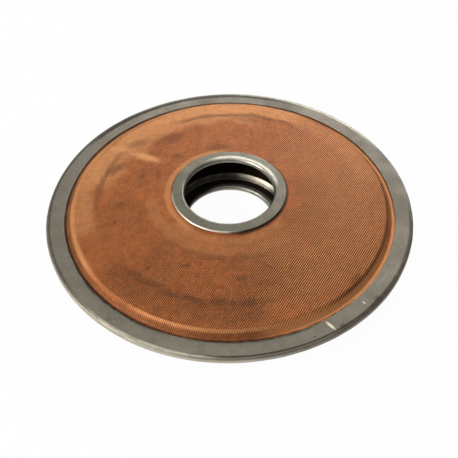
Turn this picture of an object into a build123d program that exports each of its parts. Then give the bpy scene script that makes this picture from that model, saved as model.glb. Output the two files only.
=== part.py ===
from build123d import *
import math
import os

# Oil strainer disc. Two dished screens of wire cloth, each laid over a slotted
# support plate, are crimped together by a folded rim and held at the bore by two folded
# hub rings. Z is the bore axis, and z = 0 is the plane where the two halves meet.
# All sizes are in millimetres.

# Sheet thicknesses of the crimped stack
rim_sheet = 0.5
hub_sheet = 0.8
cloth = 0.4
support = 0.4

# Rim, a strip folded round the hems of both halves
rim_outer_d = 150.0
rim_leg = 7.35
rim_fold_r = 0.95

# Hub rings, folded round the inner edge of each half
bore_d = 36.5
hub_height = 18.8
flange_d = 46.8
mouth_r = 1.0
fold_r = 1.0

# Collar that each hub ring turns in towards the other, flared at its edge
collar_inset = 0.2
collar_height = 2.2
collar_flare = 2.0
collar_bend_r = 0.4

# Dish of the wire cloth
cone_start = 0.4
foot_inset = 0.95
band_run = 2.5
shoulder_rise = 3.1
shoulder_bend_r = 1.9
foot_bend_r = 0.7

# Support plate under the cloth, and its radial drain slots
support_gap = 0.2
slot_count = 9
slot_width = 8.0
slot_hub_margin = 10.6
slot_shoulder_margin = 10.2

# Radii and heights that follow from the sizes above
rim_outer_r = rim_outer_d / 2
rim_inner_r = rim_outer_r - rim_leg
rim_half = support + cloth + rim_sheet
hem_r = rim_outer_r - rim_fold_r
bore_r = bore_d / 2
flange_r = flange_d / 2
collar_r = flange_r - collar_inset
hub_face = hub_height / 2
stack_inner_r = bore_r + mouth_r
leg_face = hub_face - hub_sheet - cloth - support - hub_sheet
foot_r = rim_inner_r - foot_inset
shoulder_r = foot_r - band_run
hem_face = rim_half - rim_sheet
cloth_hub_face = hub_face - hub_sheet


def offset_corners(path, distance):
    """Corners of the line that runs parallel to path, distance to its right."""
    normals = []
    for (r0, z0), (r1, z1) in zip(path, path[1:]):
        length = math.hypot(r1 - r0, z1 - z0)
        normals.append(((z1 - z0) / length, (r0 - r1) / length))
    corners = []
    for (r, z), before, after in zip(path, normals[:1] + normals, normals + normals[-1:]):
        mitre = distance / (1 + before[0] * after[0] + before[1] * after[1])
        corners.append((r + mitre * (before[0] + after[0]), z + mitre * (before[1] + after[1])))
    return corners


def bent_sheet(path, thickness, bends):
    """Ring of bent sheet, turned about the bore axis.

    path holds the corners (r, z) of one face, with the sheet on its right. bends holds
    that face's radius at each bend, 0 for a crease, and the other face follows it one
    thickness away.
    """
    far_bends = []
    for radius, a, b, c in zip(bends, path, path[1:], path[2:]):
        turn = (b[0] - a[0]) * (c[1] - b[1]) - (b[1] - a[1]) * (c[0] - b[0])
        far_bends.append(radius + thickness if turn > 0 else max(radius - thickness, 0.0))
    outline = path + offset_corners(path, thickness)[::-1]
    radii = [0, *bends, 0, 0, *far_bends[::-1], 0]
    section = make_face(FilletPolyline(*outline, radius=radii, close=True))
    return revolve(Plane.XZ * section, Axis.Z, 360)


def cloth_path():
    """Outer face of the cloth, from the hub fold over the shoulder to the rim fold."""
    return [
        (stack_inner_r, cloth_hub_face),
        (flange_r + cone_start, cloth_hub_face),
        (shoulder_r, hem_face + shoulder_rise),
        (foot_r, hem_face),
        (hem_r, hem_face),
    ]


def support_path():
    """Outer face of the support plate. It meets the cloth where both are clamped."""
    inner, cone, shoulder, foot, hem = offset_corners(cloth_path(), cloth)
    lowered_shoulder = (shoulder[0] - support_gap, shoulder[1] - support_gap)
    drawn_in_foot = (foot[0] - support_gap, foot[1])
    return [inner, cone, lowered_shoulder, drawn_in_foot, hem]


def make_screen():
    """Upper disc of wire cloth."""
    return bent_sheet(cloth_path(), cloth, [0, shoulder_bend_r, foot_bend_r])


def make_slots():
    """Cutters for the drain slots, each along its own radius."""
    start_r = flange_r + slot_hub_margin
    end_r = shoulder_r - slot_shoulder_margin
    outline = Pos((start_r + end_r) / 2, 0) * SlotOverall(end_r - start_r, slot_width)
    cutter = extrude(outline, hub_face)
    return [Rot(0, 0, 360 * i / slot_count) * cutter for i in range(slot_count)]


def make_support_plate():
    """Upper slotted plate, dished to follow the cloth from below."""
    bends = [0, shoulder_bend_r - cloth, foot_bend_r + cloth]
    return bent_sheet(support_path(), support, bends) - make_slots()


def make_hub_ring():
    """Upper hub ring: flange over the cloth, bore wall, return leg and flared collar."""
    path = [
        (collar_r + collar_flare, leg_face - collar_height),
        (collar_r, leg_face),
        (bore_r, leg_face),
        (bore_r, hub_face),
        (flange_r, hub_face),
    ]
    return bent_sheet(path, hub_sheet, [collar_bend_r, fold_r, mouth_r])


def make_rim():
    """Rim channel, open towards the bore."""
    path = [
        (rim_inner_r, rim_half),
        (rim_outer_r, rim_half),
        (rim_outer_r, -rim_half),
        (rim_inner_r, -rim_half),
    ]
    return bent_sheet(path, rim_sheet, [rim_fold_r, rim_fold_r])


os.makedirs("parts", exist_ok=True)

halves = {
    "screen": make_screen(),
    "support_plate": make_support_plate(),
    "hub_ring": make_hub_ring(),
}
export_step(make_rim(), "parts/outer_rim.step")
for piece, upper in halves.items():
    export_step(upper, f"parts/upper_{piece}.step")
    export_step(mirror(upper, about=Plane.XY), f"parts/lower_{piece}.step")
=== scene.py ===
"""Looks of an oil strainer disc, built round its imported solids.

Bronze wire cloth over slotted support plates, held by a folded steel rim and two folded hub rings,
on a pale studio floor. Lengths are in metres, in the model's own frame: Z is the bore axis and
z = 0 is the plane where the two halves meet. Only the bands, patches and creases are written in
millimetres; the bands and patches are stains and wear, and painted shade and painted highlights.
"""

import logging
import math
from collections.abc import Sequence
from dataclasses import dataclass, field
from enum import Enum
from functools import cached_property

import bpy
import numpy as np
from bpy.types import Material, Node, NodeSocket, NodeTree, Object
from mathutils import Matrix, Vector, noise


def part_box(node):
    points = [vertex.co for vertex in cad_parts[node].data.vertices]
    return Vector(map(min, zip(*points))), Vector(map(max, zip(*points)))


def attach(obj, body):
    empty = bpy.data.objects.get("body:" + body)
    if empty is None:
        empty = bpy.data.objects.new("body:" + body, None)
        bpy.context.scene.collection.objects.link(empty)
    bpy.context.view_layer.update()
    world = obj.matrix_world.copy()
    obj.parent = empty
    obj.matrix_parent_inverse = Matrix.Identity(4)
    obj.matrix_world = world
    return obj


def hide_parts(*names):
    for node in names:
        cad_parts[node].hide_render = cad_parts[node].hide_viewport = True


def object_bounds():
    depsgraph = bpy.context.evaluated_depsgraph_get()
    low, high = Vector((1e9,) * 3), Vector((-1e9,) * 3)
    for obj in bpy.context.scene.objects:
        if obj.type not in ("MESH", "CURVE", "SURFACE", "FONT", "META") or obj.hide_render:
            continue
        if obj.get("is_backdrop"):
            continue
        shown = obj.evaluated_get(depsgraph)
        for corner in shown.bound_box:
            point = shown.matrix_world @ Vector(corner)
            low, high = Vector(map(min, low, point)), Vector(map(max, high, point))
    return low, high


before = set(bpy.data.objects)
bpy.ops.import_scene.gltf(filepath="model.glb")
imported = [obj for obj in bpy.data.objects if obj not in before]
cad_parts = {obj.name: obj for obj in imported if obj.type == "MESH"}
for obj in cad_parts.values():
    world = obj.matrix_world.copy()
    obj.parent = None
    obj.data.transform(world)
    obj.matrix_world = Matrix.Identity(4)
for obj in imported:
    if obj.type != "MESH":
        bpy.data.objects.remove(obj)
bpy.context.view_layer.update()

LOG = logging.getLogger("oil_strainer")
MM = 0.001

Point = tuple[float, float]
Colour = tuple[float, float, float, float]
Feed = NodeSocket | float | Sequence[float]
Sockets = bpy.types.bpy_prop_collection


class Side(Enum):
    """The two mirrored halves of the disc, each with the sign of its Z."""

    UPPER = 1
    LOWER = -1

    @property
    def word(self) -> str:
        """The half's name, as the nodes have it."""
        return self.name.lower()


class Tone(Enum):
    """What a mark does to the surface under it."""

    DARK = "dark"
    LIGHT = "light"
    # Near-black: painted shade in gaps and folds, and dirt in pits.
    GAP_SHADE_AND_PIT = "gap_shade_and_pit"


def srgb(red: int, green: int, blue: int) -> Colour:
    """Turns a screen colour into a linear one.

    Args:
        red: Red from 0 to 255.
        green: Green from 0 to 255.
        blue: Blue from 0 to 255.

    Returns:
        The colour in linear light, with full alpha.
    """
    shares = [channel / 255 for channel in (red, green, blue)]
    linear = [s / 12.92 if s <= 0.04045 else ((s + 0.055) / 1.055) ** 2.4 for s in shares]
    return (*linear, 1.0)


def smooth_step(values: np.ndarray, low: float, high: float) -> np.ndarray:
    """Steps smoothly from 0 where a value is low to 1 where it is high, which may be the smaller."""
    share = np.clip((values - low) / (high - low), 0.0, 1.0)
    return share * share * (3 - 2 * share)


def node_points(node: str) -> np.ndarray:
    """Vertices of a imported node.

    Args:
        node: The node's name.

    Returns:
        An array of shape (n, 3).
    """
    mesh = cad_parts[node].data
    flat = np.zeros(len(mesh.vertices) * 3)
    mesh.vertices.foreach_get("co", flat)
    return flat.reshape(-1, 3)


def inner_radius(node: str) -> float:
    """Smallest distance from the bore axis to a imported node's vertices."""
    return float(np.hypot(*node_points(node)[:, :2].T).min())


def noise_round(angles: np.ndarray, reach: float, seed: float) -> np.ndarray:
    """Smooth noise from about -1 to 1 round the bore axis, with more waves for a longer reach."""
    places = [(reach * math.cos(angle), reach * math.sin(angle), seed) for angle in angles]
    return np.array([noise.noise(Vector(place)) for place in places])


def noise_over(x: np.ndarray, y: np.ndarray, size: float, seed: float) -> np.ndarray:
    """Smooth noise from about -1 to 1 over the disc's plane, in lumps of one size."""
    return np.array([noise.noise(Vector((a / size, b / size, seed))) for a, b in zip(x, y)])


def add_object(name: str, data: bpy.types.ID) -> Object:
    """Makes an object and links it to the scene.

    Args:
        name: The object's name.
        data: Its mesh, lamp or camera.

    Returns:
        The new object.
    """
    made = bpy.data.objects.new(name, data)
    bpy.context.scene.collection.objects.link(made)
    return made


@dataclass(frozen=True)
class Ring:
    """Vertices that go once round the bore axis, in order of angle."""

    indices: np.ndarray
    angles: np.ndarray


@dataclass
class Surface:
    """One closed surface, gathered ring by ring and row by row."""

    points: list[np.ndarray] = field(default_factory=list)
    faces: list[tuple[int, ...]] = field(default_factory=list)
    count: int = 0

    def add(self, points: np.ndarray) -> np.ndarray:
        """Adds vertices.

        Args:
            points: Places of shape (n, 3).

        Returns:
            The new vertices' indices.
        """
        self.points.append(points)
        self.count += len(points)
        return np.arange(self.count - len(points), self.count)

    def ring(self, radius: float, height: float, segments: int) -> Ring:
        """Adds an even ring of vertices.

        Args:
            radius: The ring's radius.
            height: Its Z.
            segments: Number of vertices.

        Returns:
            The new ring.
        """
        angles = -math.pi + 2 * math.pi * np.arange(segments) / segments
        across = radius * np.cos(angles)
        along = radius * np.sin(angles)
        return Ring(self.add(np.stack([across, along, np.full(segments, height)], 1)), angles)

    def edge_ring(self, indices: np.ndarray, points: np.ndarray) -> Ring:
        """Orders the vertices of a face's edge into a ring.

        Args:
            indices: Indices of the vertices on that edge.
            points: Their places.

        Returns:
            The ring, in order of angle.
        """
        angles = np.arctan2(points[:, 1], points[:, 0])
        order = np.argsort(angles)
        return Ring(indices[order], angles[order])

    def join(self, current: Ring, following: Ring) -> None:
        """Fills the strip between two rings. It faces up where the following ring is the wider one.

        Args:
            current: The ring that the section comes from.
            following: The ring that it goes to.
        """
        near, far = current.indices, following.indices
        if len(near) == len(far):
            after_near, after_far = np.roll(near, -1), np.roll(far, -1)
            self.faces += list(zip(near.tolist(), far.tolist(), after_far.tolist(), after_near.tolist()))
            return
        near_angles = np.append(current.angles, current.angles[0] + 2 * math.pi)
        far_angles = np.append(following.angles, following.angles[0] + 2 * math.pi)
        near, far = np.append(near, near[0]).tolist(), np.append(far, far[0]).tolist()
        self.faces += zip_lines(near, near_angles, far, far_angles)

    def mirror(self) -> None:
        """Turns the surface over, z to minus z, with its faces still outwards."""
        self.points = [part * np.array([1.0, 1.0, -1.0]) for part in self.points]
        self.faces = [face[::-1] for face in self.faces]

    def to_object(self, name: str, material: Material) -> Object:
        """Makes the Blender object.

        Args:
            name: The piece's name.
            material: Its finish.

        Returns:
            The new object, linked to the scene.
        """
        mesh = bpy.data.meshes.new(name)
        mesh.from_pydata(np.concatenate(self.points).tolist(), [], self.faces)
        mesh.shade_smooth()
        mesh.materials.append(material)
        return add_object(name, mesh)


def zip_lines(
    near: Sequence[int], near_at: Sequence[float], far: Sequence[int], far_at: Sequence[float]
) -> list[tuple[int, ...]]:
    """Triangles between two lines of vertices that run the same way.

    Args:
        near: Indices of the first line.
        near_at: How far along each of them lies.
        far: Indices of the second line, which lies to the right of the first.
        far_at: How far along each of them lies.

    Returns:
        The triangles.
    """
    triangles = []
    i, j = 0, 0
    while i < len(near) - 1 or j < len(far) - 1:
        far_is_next = i == len(near) - 1 or (j < len(far) - 1 and far_at[j + 1] < near_at[i + 1])
        if far_is_next:
            triangles.append((near[i], far[j], far[j + 1]))
            j += 1
        else:
            triangles.append((near[i], far[j], near[i + 1]))
            i += 1
    return triangles


def rounded_path(
    corners: Sequence[Point], radii: Sequence[float], closed: bool, steps: int = 7
) -> np.ndarray:
    """Line through corners in the (r, z) half plane, with an arc at each rounded one.

    Args:
        corners: The corners in order.
        radii: The arc's radius at each corner, 0 for a sharp one.
        closed: Whether the last corner leads back to the first.
        steps: Straight parts that an arc is divided into.

    Returns:
        Points of shape (n, 2).
    """
    places = [np.array(corner, float) for corner in corners]
    line = []
    for index, (corner, radius) in enumerate(zip(places, radii)):
        at_end = not closed and index in (0, len(places) - 1)
        if radius <= 0 or at_end:
            line.append(corner)
            continue
        back = places[index - 1] - corner
        on = places[(index + 1) % len(places)] - corner
        back, on = back / np.linalg.norm(back), on / np.linalg.norm(on)
        half = math.acos(float(np.clip(back @ on, -1, 1))) / 2
        centre = corner + (back + on) / np.linalg.norm(back + on) * radius / math.sin(half)
        start = corner + back * radius / math.tan(half) - centre
        end = corner + on * radius / math.tan(half) - centre
        sweep = math.pi - 2 * half
        for step in range(steps + 1):
            share = step / steps
            weights = math.sin((1 - share) * sweep), math.sin(share * sweep)
            line.append(centre + (weights[0] * start + weights[1] * end) / math.sin(sweep))
    return np.array(line)


def divided(line: np.ndarray, longest: float, guard: float) -> np.ndarray:
    """Divides the long straight parts of a closed line.

    Args:
        line: Points of shape (n, 2).
        longest: Longest part that may stay.
        guard: Distance from each end of a divided part to its first new point, which keeps
            the shading of a flat apart from that of the bend beside it.

    Returns:
        The line with more points.
    """
    result = []
    for start, end in zip(line, np.roll(line, -1, axis=0)):
        result.append(start)
        length = float(np.linalg.norm(end - start))
        if length < 4 * guard:
            continue
        parts = max(1, math.ceil((length - 2 * guard) / longest))
        for part in range(parts + 1):
            along = guard + (length - 2 * guard) * part / parts
            result.append(start + (end - start) * along / length)
    return np.array(result)


@dataclass(frozen=True)
class FoldedStrip:
    """Section of a strip that is folded round the bore axis.

    Attributes:
        path: Corners (r, z) of one face, with the strip's thickness on the right.
        bends: Radius of that face at each bend.
        thickness: The strip's thickness.
        start_edges: Edge radii at the first corner and at the one across the strip from it.
        end_edges: The same two at the last corner.
        longest: Longest straight part of the outline.
        guard: Distance from a bend to the first point on the flat beside it.
    """

    path: tuple[Point, ...]
    bends: tuple[float, ...]
    thickness: float
    start_edges: Point
    end_edges: Point
    longest: float = 1.1 * MM
    guard: float = 0.06 * MM

    def far_path(self) -> list[Point]:
        """Follows the strip's other face.

        Returns:
            Its corners (r, z), in the same order as path.
        """
        spans = np.diff(np.array(self.path), axis=0)
        spans /= np.linalg.norm(spans, axis=1)[:, None]
        normals = np.stack([spans[:, 1], -spans[:, 0]], 1)
        before = np.vstack([normals[:1], normals])
        after = np.vstack([normals, normals[-1:]])
        mitre = self.thickness / (1 + (before * after).sum(1))
        return [tuple(corner) for corner in np.array(self.path) + (before + after) * mitre[:, None]]

    def outline(self) -> np.ndarray:
        """Draws the section with its bends and edges rounded and its flats divided.

        Returns:
            The closed outline, as points of shape (n, 2).
        """
        spans = np.diff(np.array(self.path), axis=0)
        turns = spans[:-1, 0] * spans[1:, 1] - spans[:-1, 1] * spans[1:, 0]
        steps = np.where(turns > 0, self.thickness, -self.thickness)
        far_bends = [max(bend + step, 0.0) for bend, step in zip(self.bends, steps)]
        near = [self.start_edges[0], *self.bends, self.end_edges[0]]
        far = [self.start_edges[1], *far_bends, self.end_edges[1]]
        corners = [*self.path, *self.far_path()[::-1]]
        line = rounded_path(corners, [*near, *far[::-1]], closed=True)
        return divided(line, self.longest, self.guard)

    def turned(self, segments: int) -> Surface:
        """Turns the section about the bore axis.

        Args:
            segments: Vertices in each ring.

        Returns:
            The closed surface.
        """
        surface = Surface()
        rings = [surface.ring(float(r), float(z), segments) for r, z in self.outline()]
        for current, following in zip(rings, [*rings[1:], rings[0]]):
            surface.join(current, following)
        return surface


class Wiring:
    """Adds nodes to one node tree and links them."""

    def __init__(self, tree: NodeTree) -> None:
        """Keeps the tree that the nodes go to."""
        self.tree = tree

    def node(self, kind: str, **settings: object) -> Node:
        """Adds a node.

        Args:
            kind: Blender's name for the node's type.
            settings: Properties to set on it.

        Returns:
            The new node.
        """
        made = self.tree.nodes.new(kind)
        for name, value in settings.items():
            setattr(made, name, value)
        return made

    def feed(self, socket: NodeSocket, value: Feed) -> None:
        """Links a socket to another one, or sets its own value.

        Args:
            socket: The input socket.
            value: The output socket that it reads, or its own value.
        """
        if isinstance(value, NodeSocket):
            self.tree.links.new(value, socket)
        else:
            socket.default_value = value

    def math(
        self, operation: str, first: Feed, second: Feed = 0.0, clamp: bool = False
    ) -> NodeSocket:
        """Adds a Math node.

        Args:
            operation: What it does.
            first: Its first value.
            second: Its second value.
            clamp: Whether the result is kept from 0 to 1.

        Returns:
            The result.
        """
        made = self.node("ShaderNodeMath", operation=operation, use_clamp=clamp)
        self.feed(made.inputs[0], first)
        self.feed(made.inputs[1], second)
        return made.outputs[0]

    def times(self, first: Feed, second: Feed, clamp: bool = False) -> NodeSocket:
        """The first value times the second."""
        return self.math("MULTIPLY", first, second, clamp)

    def plus(self, first: Feed, second: Feed, clamp: bool = False) -> NodeSocket:
        """The first value plus the second."""
        return self.math("ADD", first, second, clamp)

    def minus(self, first: Feed, second: Feed) -> NodeSocket:
        """The first value less the second."""
        return self.math("SUBTRACT", first, second)

    def vector(self, operation: str, first: Feed, second: Feed = (0, 0, 0)) -> NodeSocket:
        """Adds a Vector Math node.

        Args:
            operation: What it does.
            first: Its first vector.
            second: Its second vector.

        Returns:
            The result, a number for a length or a dot product and a vector for the rest.
        """
        made = self.node("ShaderNodeVectorMath", operation=operation)
        self.feed(made.inputs[0], first)
        self.feed(made.inputs[1], second)
        return made.outputs["Value" if operation in ("LENGTH", "DOT_PRODUCT") else "Vector"]

    def step(self, value: Feed, low: Feed, high: Feed, top: float = 1.0) -> NodeSocket:
        """Adds a smooth step.

        Args:
            value: What it reads.
            low: Value that gives 0.
            high: Value that gives top.
            top: Result at high.

        Returns:
            The result.
        """
        made = self.node("ShaderNodeMapRange", interpolation_type="SMOOTHSTEP")
        inputs = {"Value": value, "From Min": low, "From Max": high, "To Max": top}
        for name, given in inputs.items():
            self.feed(made.inputs[name], given)
        return made.outputs["Result"]

    def blend(self, share: Feed, first: Feed, second: Feed) -> NodeSocket:
        """Adds a colour mix.

        Args:
            share: How much of the second colour shows, from 0 to 1.
            first: The colour under it.
            second: The colour on top.

        Returns:
            The mixed colour.
        """
        made = self.node("ShaderNodeMix", data_type="RGBA", clamp_factor=True)
        # Its numbers, vectors and colours have sockets of the same names, so these are found by place.
        self.feed(made.inputs[0], share)
        self.feed(made.inputs[6], first)
        self.feed(made.inputs[7], second)
        return made.outputs[2]

    def noise(
        self, place: Feed, scale: Feed, detail: float = 2.0, roughness: float = 0.5
    ) -> NodeSocket:
        """Adds a noise texture.

        Args:
            place: Where it is read.
            scale: Features to the metre.
            detail: Octaves above the first.
            roughness: Strength of each octave against the one before.

        Returns:
            The noise, about 0.5 on average.
        """
        made = self.node("ShaderNodeTexNoise")
        inputs = {"Vector": place, "Scale": scale, "Detail": detail, "Roughness": roughness}
        for name, given in inputs.items():
            self.feed(made.inputs[name], given)
        return made.outputs["Fac"]


class Effects:
    """Shader node groups that more than one finish uses, each built once."""

    @staticmethod
    def _begin(
        name: str, numbers: Sequence[str], vectors: Sequence[str] = ()
    ) -> tuple[Wiring, Sockets, NodeSocket]:
        """Makes an empty group that reads a Position and puts out a Mask.

        Args:
            name: The group's name.
            numbers: Names of its inputs that are numbers.
            vectors: Names of its inputs that are vectors, beside Position.

        Returns:
            The group's wiring, its inputs by name, and the socket that the mask goes to.
        """
        tree = bpy.data.node_groups.new(name, "ShaderNodeTree")
        kinds = dict.fromkeys(("Position", *vectors), "Vector") | dict.fromkeys(numbers, "Float")
        for label, kind in kinds.items():
            tree.interface.new_socket(label, in_out="INPUT", socket_type=f"NodeSocket{kind}")
        tree.interface.new_socket("Mask", in_out="OUTPUT", socket_type="NodeSocketFloat")
        w = Wiring(tree)
        return w, w.node("NodeGroupInput").outputs, w.node("NodeGroupOutput").inputs["Mask"]

    @cached_property
    def ring_band(self) -> NodeTree:
        """Band round the bore axis, whole or over a sector, with a wandering and broken edge."""
        numbers = ("Radius", "Half Width", "Wander", "Gaps", "Bearing", "Half Span", "Fade")
        w, given, out = self._begin("ring_band", numbers)
        flat = w.vector("MULTIPLY", given["Position"], (1, 1, 0))
        radius = w.vector("LENGTH", flat)
        drift = w.minus(w.noise(flat, scale=120.0, detail=3.0), 0.5)
        drift = w.times(drift, w.times(given["Wander"], 4.0))
        off = w.math("ABSOLUTE", w.minus(w.plus(radius, drift), given["Radius"]))
        inside = w.times(given["Half Width"], 0.3)
        band = w.step(off, given["Half Width"], inside)
        hole = w.step(w.noise(flat, scale=330.0), 0.46, 0.62)
        whole = w.minus(1.0, w.times(hole, given["Gaps"]))
        towards = w.node("ShaderNodeCombineXYZ")
        w.feed(towards.inputs[0], w.math("COSINE", given["Bearing"]))
        w.feed(towards.inputs[1], w.math("SINE", given["Bearing"]))
        unit = w.vector("NORMALIZE", flat)
        facing = w.vector("DOT_PRODUCT", unit, towards.outputs[0])
        limit = w.math("COSINE", given["Half Span"])
        sector = w.step(facing, w.minus(limit, given["Fade"]), limit)
        w.feed(out, w.times(w.times(band, whole), sector, clamp=True))
        return w.tree

    @cached_property
    def patch(self) -> NodeTree:
        """Oblong blot, streak or scratch at one place, with a ragged edge."""
        w, given, out = self._begin("patch", ("Ragged",), ("Centre", "Turn", "Half Size"))
        jitter = w.noise(given["Position"], scale=420.0, detail=3.0)
        jitter = w.times(w.minus(jitter, 0.5), 2.0)
        local = w.node("ShaderNodeMapping", vector_type="TEXTURE")
        sources = {"Vector": "Position", "Location": "Centre", "Rotation": "Turn", "Scale": "Half Size"}
        for name, source in sources.items():
            w.feed(local.inputs[name], given[source])
        away = w.vector("LENGTH", local.outputs[0])
        away = w.plus(away, w.times(jitter, given["Ragged"]))
        w.feed(out, w.step(away, 1.0, 0.25))
        return w.tree

    @cached_property
    def film(self) -> NodeTree:
        """Patchy film of oil or dirt at two scales."""
        w, given, out = self._begin("film", ("Scale", "Coverage", "Softness"))
        broad = w.noise(given["Position"], given["Scale"], detail=4.0, roughness=0.55)
        fine = w.noise(given["Position"], w.times(given["Scale"], 4.3), detail=3.0)
        both = w.plus(w.times(broad, 0.72), w.times(fine, 0.28))
        middle = w.minus(1.0, given["Coverage"])
        low = w.minus(middle, given["Softness"])
        high = w.plus(middle, given["Softness"])
        w.feed(out, w.step(both, low, high))
        return w.tree

    @cached_property
    def grain(self) -> NodeTree:
        """Fine even grain."""
        w, given, out = self._begin("grain", ("Scale", "Contrast"))
        speck = w.noise(given["Position"], given["Scale"], detail=4.0, roughness=0.6)
        w.feed(out, w.plus(w.times(w.minus(speck, 0.5), given["Contrast"]), 0.5))
        return w.tree

    @cached_property
    def drawn_lines(self) -> NodeTree:
        """Lines that rolling and folding leave along a strip, round the bore axis."""
        w, given, out = self._begin("drawn_lines", ("Lines", "Contrast"))
        flat = w.vector("MULTIPLY", given["Position"], (1, 1, 0))
        unit = w.vector("MULTIPLY", w.vector("NORMALIZE", flat), (3, 3, 3))
        height = w.node("ShaderNodeSeparateXYZ")
        w.feed(height.inputs[0], given["Position"])
        reach = w.plus(w.vector("LENGTH", flat), height.outputs[2])
        spread = w.node("ShaderNodeCombineXYZ")
        w.feed(spread.inputs[2], w.times(reach, given["Lines"]))
        place = w.vector("ADD", unit, spread.outputs[0])
        line = w.noise(place, scale=1.0, detail=4.0, roughness=0.6)
        w.feed(out, w.plus(w.times(w.minus(line, 0.5), given["Contrast"]), 0.5))
        return w.tree

    @cached_property
    def waves(self) -> NodeTree:
        """Even parallel waves, 1 on each crest and 0 between two crests."""
        w, given, out = self._begin("waves", ("Pitch",), ("Across",))
        at = w.vector("DOT_PRODUCT", given["Position"], given["Across"])
        turn = w.times(w.math("DIVIDE", at, given["Pitch"]), 2 * math.pi)
        w.feed(out, w.plus(w.times(w.math("COSINE", turn), 0.5), 0.5))
        return w.tree


class Coat(Wiring):
    """Wiring of one material, with the shared effects and the place on the surface."""

    def __init__(self, name: str, effects: Effects) -> None:
        """Makes the empty material.

        Args:
            name: The material's name.
            effects: The shared effects.
        """
        self.material = bpy.data.materials.new(name)
        self.material.use_nodes = True
        super().__init__(self.material.node_tree)
        self.effects = effects
        self.shader = self.tree.nodes["Principled BSDF"]
        self.place = self.node("ShaderNodeTexCoord").outputs["Object"]

    def effect(self, group: NodeTree, **values: Feed) -> NodeSocket:
        """Places a shared effect on the surface.

        Args:
            group: The effect's node group.
            values: Its inputs beside Position, by their names with an underscore for each space.

        Returns:
            The effect's mask.
        """
        made = self.node("ShaderNodeGroup", node_tree=group)
        self.feed(made.inputs["Position"], self.place)
        for name, value in values.items():
            self.feed(made.inputs[name.replace("_", " ")], value)
        return made.outputs["Mask"]

    def complete(self, colour: Feed, rough: Feed, relief: Feed, depth: float) -> Material:
        """Feeds the shader.

        Args:
            colour: The surface's colour.
            rough: Its roughness.
            relief: Its fine relief, from 0 to 1.
            depth: How deep that relief is.

        Returns:
            The finished material.
        """
        bump = self.node("ShaderNodeBump")
        bump.inputs["Distance"].default_value = depth
        self.feed(bump.inputs["Height"], relief)
        inputs = {"Base Color": colour, "Roughness": rough, "Normal": bump.outputs["Normal"]}
        for name, given in inputs.items():
            self.feed(self.shader.inputs[name], given)
        return self.material


@dataclass(frozen=True)
class Band:
    """A band round the bore axis, with its lengths in millimetres: a stain or a worn line, painted shade
    or a painted highlight.

    Attributes:
        tone: Whether it darkens or lightens.
        radius: Its middle.
        half_width: Half of its width.
        strength: How strong it is, from 0 to 1.
        wander: How far its edge strays.
        gaps: How broken it is, from 0 to 1.
        bearing: Middle of its sector, in degrees from X towards Y.
        half_span: Half of its sector, in degrees. 180 is the whole ring.
        fade: How softly the sector ends, as a step of the cosine of the angle from its middle.
    """

    tone: Tone
    radius: float
    half_width: float
    strength: float
    wander: float = 0.0
    gaps: float = 0.0
    bearing: float = 0.0
    half_span: float = 180.0
    fade: float = 0.14

    def mask(self, w: Coat) -> NodeSocket:
        """Adds the band to a material.

        Args:
            w: The material's wiring.

        Returns:
            The band's mask, at its own strength.
        """
        band = w.effect(
            w.effects.ring_band,
            Radius=self.radius * MM,
            Half_Width=self.half_width * MM,
            Wander=self.wander * MM,
            Gaps=self.gaps,
            Bearing=math.radians(self.bearing),
            Half_Span=math.radians(self.half_span),
            Fade=self.fade,
        )
        return w.times(band, self.strength)


@dataclass(frozen=True)
class Patch:
    """A spot, streak or scratch at one place, or a painted highlight or painted shade along a crease,
    with its lengths in millimetres.

    Attributes:
        tone: Whether it darkens or lightens.
        centre: Its place (x, y).
        half_length: Half of its length.
        half_width: Half of its width.
        strength: How strong it is, from 0 to 1.
        bearing: Direction of its length, in degrees from X towards Y.
        ragged: How ragged its edge is.
    """

    tone: Tone
    centre: Point
    half_length: float
    half_width: float
    strength: float
    bearing: float = 0.0
    ragged: float = 0.5

    def mask(self, w: Coat) -> NodeSocket:
        """Adds the patch to a material.

        Args:
            w: The material's wiring.

        Returns:
            The patch's mask, at its own strength.
        """
        patch = w.effect(
            w.effects.patch,
            Centre=(self.centre[0] * MM, self.centre[1] * MM, 0.0),
            Turn=(0.0, 0.0, math.radians(self.bearing)),
            Half_Size=(self.half_length * MM, self.half_width * MM, 1.0),
            Ragged=self.ragged,
        )
        return w.times(patch, self.strength)


Mark = Band | Patch


@dataclass(frozen=True)
class Finish:
    """What every finish of the disc has.

    Attributes:
        name: The material's name.
        base: Colour of the plain surface.
        dark: Colour of its dark marks.
        light: Colour of its light marks.
        roughness: Roughness of the plain surface.
        metallic: Share of bare metal in the look.
        specular: Strength of the sheen on what isn't bare metal.
        gap_shade_and_pit: Colour of painted shade in gaps and folds, and of pits that dirt has filled.
        rough_spread: How far the roughness falls between the surface's grains.
        marks: Bands and patches, the first one lowest.
    """

    name: str
    base: Colour
    dark: Colour
    light: Colour
    roughness: float
    metallic: float
    specular: float = 0.5
    gap_shade_and_pit: Colour = (0.012, 0.007, 0.004, 1.0)
    rough_spread: float = 0.08
    marks: tuple[Mark, ...] = ()

    def begin(self, effects: Effects) -> Coat:
        """Starts the material.

        Args:
            effects: The shared effects.

        Returns:
            The material's wiring.
        """
        w = Coat(self.name, effects)
        w.shader.inputs["Metallic"].default_value = self.metallic
        w.shader.inputs["Specular IOR Level"].default_value = self.specular
        return w

    def marked(self, w: Coat, colour: Feed) -> Feed:
        """Lays the marks over a colour.

        Args:
            w: The material's wiring.
            colour: The colour under the marks.

        Returns:
            The colour with the marks on it.
        """
        tints = {Tone.DARK: self.dark, Tone.LIGHT: self.light, Tone.GAP_SHADE_AND_PIT: self.gap_shade_and_pit}
        for mark in self.marks:
            colour = w.blend(mark.mask(w), colour, tints[mark.tone])
        return colour


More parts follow.
